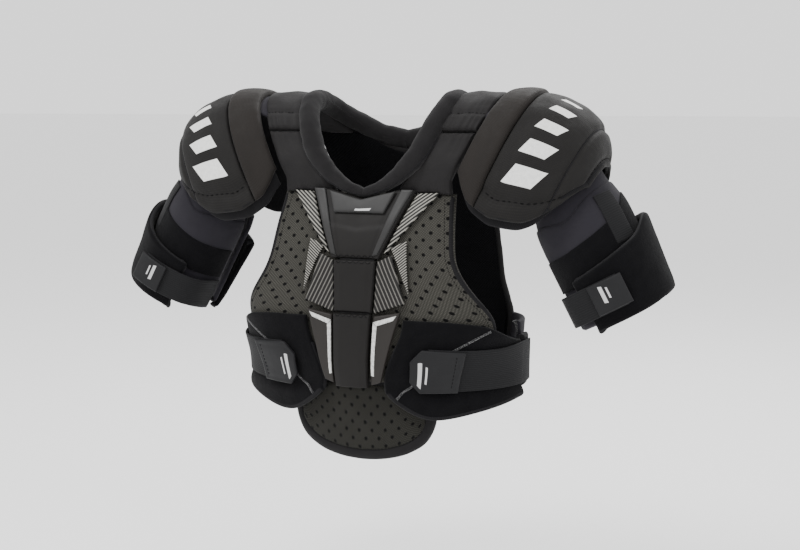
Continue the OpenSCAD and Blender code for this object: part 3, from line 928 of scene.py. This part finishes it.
# ---- the pieces ----
BACK_TOP, BACK_HEM, CHEST_HEM = -41, -332, -320
QUILT_DOWN, QUILT_ACROSS = (70, 150, 225), (90, 245)
LINER_LOW, LINER_HIGH = -FOAM_T - 3.4, -FOAM_T - 0.9
SIDE_EDGES = (("right", 0.012, 0.034), ("left", 0.988, 0.966))


def make_back():
    def at(u, v):
        z = mix(BACK_TOP + eased(np.abs(2 * u - 1), NAPE_RISE, 0.06), BACK_HEM, v)
        return trunk(180 + bearing(eased(z, BACK_HALF_W), z, BACK_DEPTHS) * (2 * u - 1), z)

    def quilt(x, y):
        return np.minimum(cross_seams(*QUILT_DOWN)(x, y), cross_seams(*QUILT_ACROSS)(y, x))
    back = make_pad("back_panel", at, -FOAM_T, 0, 4, "torso", "nylon_black", rough=0.8, seam=quilt, tuck=3.0,
                    limit=3.5)
    for side, edge, _ in SIDE_EDGES:
        bind(f"back_binding_{side}", back, [(edge, 0.02), (edge, 1)], "torso")
    bind("back_hem_binding", back, [(0, 0.988), (1, 0.988)], "torso")
    make_pad("back_liner", at_inset(at, 0.006, 0.02), LINER_LOW, LINER_HIGH, 6, "torso", "mesh_liner")

    def spine(u, v):
        return trunk(180 + 17 * (2 * u - 1), mix(-70, -310, v))
    guard = make_pad("spine_guard", spine, 2.0, 8.4, 4, "torso", "nylon_black", crown=1.5,
                     seam=cross_seams(48, 96, 144, 192), limit=3)
    bind("spine_binding", guard, [(0, 0), (0, 1), (1, 1), (1, 0), (0, 0)], "torso", 2.2, 2.6, -3.2)


def make_chest():
    def at(u, v):
        z = mix(NECK_Z + 1, CHEST_HEM, v)
        return trunk(bearing(eased(z, CHEST_HALF_W), z) * (2 * u - 1), z)
    chest = make_pad("chest_panel", at, -FOAM_T, 0, 4, "torso", "knit_chest", rough=0.5)
    for side, edge, inner in SIDE_EDGES:
        bind(f"chest_binding_{side}", chest, [(edge, 0), (edge, 0.78)], "torso", 4.8, 7.0)
        sew(f"chest_stitches_{side}", chest, [(inner, 0.03), (inner, 0.72)], "torso", lift=0.2)
    make_pad("front_liner", at_inset(at, 0.008, 0.02), LINER_LOW, LINER_HIGH, 6, "torso", "mesh_liner")


SHIELD_TOP = NECK_Z + 1
GUARD_D = 2.8


def make_sternum():
    """The moulded guard down the middle of the chest."""
    def block(stem, points, thick, low=0.0, slot="moulded_black", dip=0.0, edge=2.5, relief=None):
        low = GUARD_D + low
        return make_pad(stem, corners(*points, dip), low, low + thick, 3, "torso", slot, edge=edge, crown=0.8,
                        relief=relief)

    def shield_shape(u, v, x, y):
        return 1.0 * ramp((v - 0.5) / 0.05) - 0.8 * np.exp(-((np.abs(2 * u - 1) - 0.66) / 0.03) ** 2)

    def block_shape(u, v, x, y):
        return 1.2 * ramp((0.8 - np.abs(2 * u - 1)) / 0.12)
    shield = block("sternum_shield", ((-66, SHIELD_TOP), (66, SHIELD_TOP), (30, SEAM_1_Z), (-30, SEAM_1_Z)), 7.5,
                   dip=NECK_DIP, relief=shield_shape)
    upper = block("sternum_block_upper", ((-27, SEAM_1_Z - 1), (27, SEAM_1_Z - 1), (24, SEAM_2_Z),
                  (-24, SEAM_2_Z)), 9.5, relief=block_shape)
    lower = block("sternum_block_lower", ((-24, SEAM_2_Z - 1), (24, SEAM_2_Z - 1), (20, GUARD_Z),
                  (-20, GUARD_Z)), 13, relief=block_shape)
    block("sternum_badge", ((-43, -95), (43, -95), (32, -122), (-32, -122)), 4, 8, "moulded_grey", NECK_DIP, 1.8)
    for name, pad, inset, down, sway in (
            ("shield", shield, 0.1, 0.965, 1.6), ("upper_block", upper, 0.06, 0.05, 1.4),
            ("lower_block", lower, 0.06, 0.03, 1.8)):
        sew(f"{name}_stitches", pad, [(inset, down), (1 - inset, down)], "torso", sway=sway, length=3.4, gap=0.4)
    sew("badge_stitches", shield, [(0.33, 0.07), (0.5, 0.09), (0.67, 0.07)], "torso", lift=4.0)

    for stem, material, thick, *points in (
            ("stripe_panel", "stripes", 4, (67, -95), (94, -94), (39, -163), (35, -166)),
            ("hatch_panel", "hatch", 3, (43, -158), (62, -149), (68, -212), (52, -174)),
            ("rib_panel", "ribs", 5.5, (28, -174), (46, -166), (64, -222), (25, -236)),
            ("wing_panel", "wing", 8, (26, -238), (60, -232), (35, -315), (23, -319))):
        slot = "moulded_black" if material == "wing" else "silver_print"
        make_pad(stem, corners(*points), GUARD_D, GUARD_D + thick, 3, "torso", slot, material, pair=True, edge=1.8,
                 flat=slot == "silver_print")

    for name, slot, material, low, high, *points in (
            ("shield_ridge_left", "moulded_grey", "moulded_ridge", 6, 10.5,
             (49, SHIELD_TOP - 1), (64, SHIELD_TOP - 1), (30, -167), (23, -169)),
            ("chevron_bar_left", "silver_print", "white_print", 7.2, 9,
             (27, -245), (56, -236), (52, -242), (31.5, -249.5)),
            ("chevron_stem_left", "silver_print", "white_print", 7.2, 9,
             (27, -246), (32, -250), (28, -307), (24.5, -306))):
        make_extra(name, corners(*points), GUARD_D + low, GUARD_D + high, 2.5, "torso", slot, material, edge=0.9)


def make_lobes():
    top = [(0, -241), (0.35, -241), (0.6, -246), (0.8, -262), (1, -272)]
    bottom = [(0, -330), (0.2, -352), (0.35, -363), (0.5, -360), (0.65, -353), (1, -336)]

    def at(u, v):
        z = mix(eased(u, top, 0.08), eased(u, bottom, 0.08), v)
        inner = mix(62, 38, ramp((-241 - z) / 80))
        p = trunk(mix(bearing(inner, z), 87, u), z)
        return p + unit(p * (1, 1, 0)) * (5.5 * ramp((-324 - z) / 12))[..., None]
    lobe = make_pad("plush_lobe", at, 0.6, 8, 4, "torso", "plush", pair=True, rough=0.4, limit=1.2)
    bind("lobe_binding_left", lobe, [(0.0, 0.35), (0.0, 0.985), (1, 0.985)], "torso", 3.6, 4.4, -3.2, pair=True)
    bind("lobe_piping_left", lobe, [(0.62, 0.03), (0.40, 0.30), (0.27, 0.62), (0.10, 0.95)], "torso",
         1.4, 1.1, 0.1, pair=True, slot="silver_print", material="piping")

    def wing(u, v):
        z = mix(-252, -334, v)
        back = 180 - bearing(eased(z, BACK_HALF_W), z, BACK_DEPTHS) + 2.5
        return trunk(mix(93, back, u), z)
    side = make_pad("side_wing", wing, -7, 0, 4, "torso", "neoprene", pair=True, rough=0.8)
    bind("side_wing_piping_left", side, [(0, 0), (0, 1)], "torso", 1.8, 3.6, -3.4, pair=True, slot="silver_print",
         material="piping")
    make_pad("strap_anchor", waist_band(89, 96.5, STRAP_W / 2 + 6), 0.4, 9, 3, "torso", "elastic", pair=True)


BLOCK_SEAMS = (54, 146)


def make_yoke():
    def over(f0, f1):
        def at(u, v):
            f = mix(f1, f0, v)
            return yoke(mix(yoke_inner(f) - 7, np.maximum(yoke_outer(yoke_z(f)) + 4, 108), u), f)
        return at

    def gathers(u, v, x, y):
        return 1.5 * np.sin(x / 1.7 + 2 * np.sin(x / 7)) * (np.exp(-(1 - v) * 7) + np.exp(-v * 7))
    block = make_pad("shoulder_block", over(32.5, 150), -YOKE_T, 0, 3, "torso", "nylon_black", pair=True, edge=5,
                     crown=1.5, rough=1.8, relief=gathers, seam=cross_seams(*BLOCK_SEAMS), limit=5)
    make_pad("clavicle_panel", over(-15.5, 31.5), -YOKE_T + 2, -1, 3, "torso", "nylon_black", pair=True, edge=5,
             crown=1.5, rough=2.0, relief=gathers, limit=4)
    for name, seam in zip(("block_stitches_left", "block_back_stitches_left"), BLOCK_SEAMS):
        down = seam / block.size[1]
        sew(name, block, [(0.04, down), (0.96, down)], "torso", pair=True)

    def gusset(u, v):
        inner = over(45, 135)(np.ones_like(u), v) - np.array((6, 0, 0))
        outer = cap(-0.96 * np.ones_like(u), 40 * (1 - 2 * v))
        return mix(inner, outer, u[..., None])
    skirt = Pad("soft_cap_gusset_left", gusset, -7, -4, 3, edge=1)
    bridge(skirt, "neoprene")

    def tether(u, v):
        return stack(mix(118, 144, u), mix(18, -18, v), YOKE_TOP - YOKE_T - 6)
    make_pad("cap_tether", tether, -1, 1, 3, "torso", "elastic", pair=True, soft=False)


COLLAR_R = 13
COLLAR_PATH = [(0.2, -76, -94), (26, -76, -84), (47, -74, -69), (67, -68, -45), (82, -54, -12),
               (91, -28, 12), (93, 0, 17), (88, 30, 9), (66, 55, -9), (34, 67, -26), (0.2, 71, -34)]
COLLAR_FULLNESS = [(0, 0.45), (0.1, 0.6), (0.2, 0.82), (0.3, 1), (1, 1)]


def make_collar():
    path = spline(COLLAR_PATH, 12)
    past_middle = np.array((12.0, 0, 0))
    path = np.concatenate([[path[0] - past_middle], path, [path[-1] - past_middle]])
    share = np.linspace(0, 1, len(path))
    radius = COLLAR_R * eased(share, COLLAR_FULLNESS, 0.03)
    radius = radius * (1 + 0.035 * smooth_noise(path, 14.0) + 0.02 * smooth_noise(path, 5.0))
    piece = tube("soft_collar_left", path, radius, sides=28)
    mesh = piece.data
    for vertex in mesh.vertices:
        wrinkle = noise.noise(Vector(vertex.co) * 95) * 0.0009 + noise.noise(Vector(vertex.co) * 40) * 0.0012
        vertex.co += vertex.normal * wrinkle
        vertex.co.x = max(vertex.co.x, -0.0005)

    @LATER.append
    def act():
        for half, side in both(piece):
            finish_piece(half, "torso", "knit_collar", None, (f"collar_{side}",), True)
    ahead = unit(np.gradient(path, axis=0))
    out = unit(np.cross(ahead, (0, 0, 1)))
    down = np.cross(ahead, out)
    low = path + radius[:, None] * (out * 0.75 - np.sign(down[:, 2:]) * down * 0.62)
    piping = tube("collar_piping_left", low[5:-3], 1.3)
    LATER.append(lambda: trim(piping, "torso", "binding", True))


BELLY_TOP = -324


def make_belly():
    def belly(x, z):
        return stack(x, -eased(z, FRONT_DEPTHS) * np.sqrt(1 - (x / TORSO_HALF_W) ** 2), z)

    half = [(86, -326), (87, -350), (84.5, -371), (75, -389), (56, -401.5), (30, -409), (0, -411.5)]

    def at(u, v):
        x = 85 * (2 * u - 1)
        foot = eased(np.abs(x), [(wide, z) for wide, z in half[2:]], 4) + 3
        return belly(x, mix(BELLY_TOP, foot, v))
    belly_pad = make_pad("belly_pad", at, -14, -3, 4, "belly_flap", "knit_belly", rough=0.6, crown=0.6)

    def hinge(u, v):
        return belly(80 * (2 * u - 1), mix(-311, -335, v))
    strip = Pad("soft_belly_hinge", hinge, -10, -6, 4)
    bridge(strip, "binding", pair=False)

    outline = spline([(-x, z) for x, z in half] + half[-2::-1], 8)
    path = belly(outline[:, 0], outline[:, 1]) + np.array((0, 8.5, 0))
    facing = unit(path * (1, 1, 0))
    width = 7.6 * (1 + 0.05 * smooth_noise(path, 13.0))
    band = tube("soft_belly_binding", path, width, 5.6, facing, 16)
    LATER.append(lambda: finish_piece(band, "belly_flap", "binding", "knit_collar", ("belly_binding",), True))
    sew("belly_stitches", belly_pad, [(0.02, 0.1), (0.02, 0.97), (0.98, 0.97), (0.98, 0.1)], "belly_flap")


def make_waist_straps():
    make_pad("waist_strap", waist_band(43, 86, STRAP_W / 2), 9.8, 12.4, 3, "side_strap_{}", "elastic", pair=True,
             edge=1.2, soft=False)
    root = waist_band(82.5, 95, STRAP_W / 2 - 0.6)
    strip = Pad("soft_strap_root_left", root, 9.3, 12.0, 2.5, edge=1, soft=False)
    bridge(strip, "elastic")

    def tab(u, v):
        width = np.where(u < 0.25, mix(0.45, 1, u / 0.25), 1)
        return waist_band(35, 57, STRAP_W / 2 * width)(u, v)

    def frame_line(u, v, x, y):
        rim = np.minimum(np.minimum(u * 2.2, 1 - u), np.minimum(v, 1 - v))
        return -0.7 * np.exp(-((rim - 0.1) / 0.025) ** 2)
    piece = make_pad("waist_tab", tab, 13.2, 18, 2, "side_strap_{}", "rubber_tab", "waist_label", pair=True,
                     edge=2, relief=frame_line, soft=False)
    sew("waist_tab_stitches_left", piece, [(0.86, 0.08), (0.86, 0.92)], "side_strap_{}", pair=True)


ROLL_S = -0.42
RIM_SEAM = 13


def cap_strip(s0, s1, drop=0):
    def at(u, v):
        s = mix(s0, s1, u)
        return cap(s, (cap_end(s) + drop) * (1 - 2 * v))
    return at


def make_caps():
    across, down = lengths(cap_strip(ROLL_S, 1))
    CAP_MARK[:] = [0.36 * across, 0.72 * down]
    second = 0.66 * across

    def from_rim(x, y):
        return np.minimum(across - x, np.minimum(y, down - y))

    def seams(x, y):
        return np.minimum(np.abs(x - second), np.abs(from_rim(x, y) - RIM_SEAM))

    def puckers(u, v, x, y):
        near = np.exp(-((from_rim(x, y) - RIM_SEAM) / 4.5) ** 2)
        return 1.3 * near * np.sin((x + y) * 0.85)
    shell = make_pad("cap_shell", cap_strip(ROLL_S, 1), -8, 0, 2.6, "cap_{}", "nylon_black", "nylon_cap",
                     pair=True, edge=5, crown=1.0, relief=puckers, rough=1.2, seam=seams, tuck=3.6, limit=5)
    make_pad("cap_roll", cap_strip(-1, ROLL_S - 0.01), -9, 3, 4, "cap_{}", "nylon_black", "nylon_roll",
             pair=True, edge=6, crown=1.5, rough=0.8, limit=4)
    liner = make_pad("cap_liner", cap_strip(-0.96, 1.06, 5), -17.5, -12, 5, "cap_{}", "binding", pair=True, edge=3)
    inset_u, inset_v = RIM_SEAM / across, RIM_SEAM / down
    sew("cap_stitches_left", shell, [(0.02, inset_v), (1 - inset_u, inset_v), (1 - inset_u, 1 - inset_v),
        (0.02, 1 - inset_v)], "cap_{}", pair=True, length=4.4, gap=3.0, width=1.0, lift=0.5)
    bind("cap_seam_left", shell, [(second / across, 0.01), (second / across, 0.99)], "cap_{}", 1.0, 0.9, 0.1,
         pair=True)
    around = [(0, 0.005), (0.995, 0.005), (0.995, 0.995), (0, 0.995)]
    bind("cap_piping_left", shell, around, "cap_{}", 2.6, 4.4, -4.2, pair=True)
    bind("cap_liner_piping_left", liner, [(0, 0), (1, 0), (1, 1), (0, 1)], "cap_{}", 2.0, 3.0, -2.8, pair=True)


GUARD_TOP = [(0, 96), (55, 90), (95, 72), (130, 80), (172, 80)]
WRAP_TOP = [(-114, 7), (-76, 13), (-30, 25), (-5, 43), (20, 46)]
SLEEVE_TURN = (-172, 150)
ARM_STRAP_U, ARM_STRAP_R = -24, GUARD_R + 22


def guard_surface(a, h):
    return arm(a, h, GUARD_R - 6 * ramp((h - 60) / 45))


def make_arms():
    def guard(u, v):
        a = mix(*SLEEVE_TURN, u)
        return guard_surface(a, mix(eased(np.abs(a), GUARD_TOP, 8), -50, v))
    sleeve = make_pad("bicep_guard", guard, 0, 7, 4, "arm_{}", "neoprene", pair=True, rough=0.7)
    bind("bicep_guard_piping_left", sleeve, [(1, 0), (0.0, 0.0), (0.0, 1), (1, 1)], "arm_{}", 2.0, 4.0, -3.5,
         pair=True)

    def gusset(u, v):
        a = mix(*SLEEVE_TURN, u)
        h = mix(120, 58, v)
        return arm(a, h, GUARD_R + 1 - 8 * ramp((h - 58) / 60))
    sock = Pad("soft_arm_gusset_left", gusset, 0, 4, 5, rough=0.8)
    bridge(sock, "neoprene")

    def loop_band(u, v):
        a = mix(-165, 140, u)
        h = eased(a, WRAP_TOP, 8)
        return guard_surface(a, mix(h + 32, h - 8, v))
    make_extra("soft_bicep_loop_left", loop_band, 7, 8.6, 4, "arm_{}", "plush", edge=0.8)

    def wrap(u, v):
        a = mix(-114, 145, u)
        foot = -58 + 9 * np.exp(-((a - 5) / 38) ** 2)
        h = mix(eased(a, WRAP_TOP, 8), foot, v)
        return arm(a, h, GUARD_R + 8 + 6 * ramp((h + 40) / 86) - 3 * ramp((-34 - h) / 24))
    cover = make_pad("bicep_wrap", wrap, 0, 9, 4, "arm_{}", "plush", pair=True, rough=0.8, limit=2)
    bind("bicep_wrap_binding_left", cover, [(0.0, 1), (0.0, 0.0), (1, 0.0)], "arm_{}", 3.4, 5.4, -4.5, pair=True)
    bind("bicep_wrap_hem_left", cover, [(0, 1), (1, 1)], "arm_{}", 2.6, 4.8, -4.5, pair=True)

    def web(a, top, foot):
        return lambda u, v: guard_surface(mix(a, a + 28, u), mix(top, foot, v))
    make_pad("arm_webbing", web(-46, 88, 40), -4, -1.5, 3, "arm_{}", "elastic", pair=True, edge=1, soft=False)
    make_extra("soft_outer_webbing_left", web(-50, 84, 24), 7.2, 9.4, 3, "arm_{}", "elastic", edge=1)

    def strap(u, v):
        a = mix(-165, -70, u)
        r = mix(GUARD_R + 8.4, ARM_STRAP_R, ramp((a + 165) / 45))
        return arm(a, ARM_STRAP_U + 19 * (1 - 2 * v), r)
    make_pad("bicep_strap", strap, 0, 2.4, 3, "arm_strap_{}", "elastic", pair=True, edge=1, soft=False)

    def tab(u, v):
        return arm(mix(-98, -66, u), ARM_STRAP_U + 18 * (1 - 2 * v), ARM_STRAP_R)
    make_pad("bicep_tab", tab, 2.8, 7.3, 2, "arm_strap_{}", "rubber_tab", "arm_label", pair=True, edge=1.8,
             soft=False)


def dress_inner_nodes():
    """The hidden hard parts keep their CAD shape and get their own finish."""
    for name in ("sternum_plate", "cap_insert_left", "cap_insert_right"):
        node = bpy.data.objects[name]
        node.data.materials.clear()
        node.data.materials.append(finish_of("hard_insert"))


for make in (make_camera, make_stage, make_back, make_chest, make_sternum, make_lobes, make_yoke, make_collar,
             make_belly, make_waist_straps, make_caps, make_arms, simulate):
    make()
for action in LATER:
    action()
dress_inner_nodes()
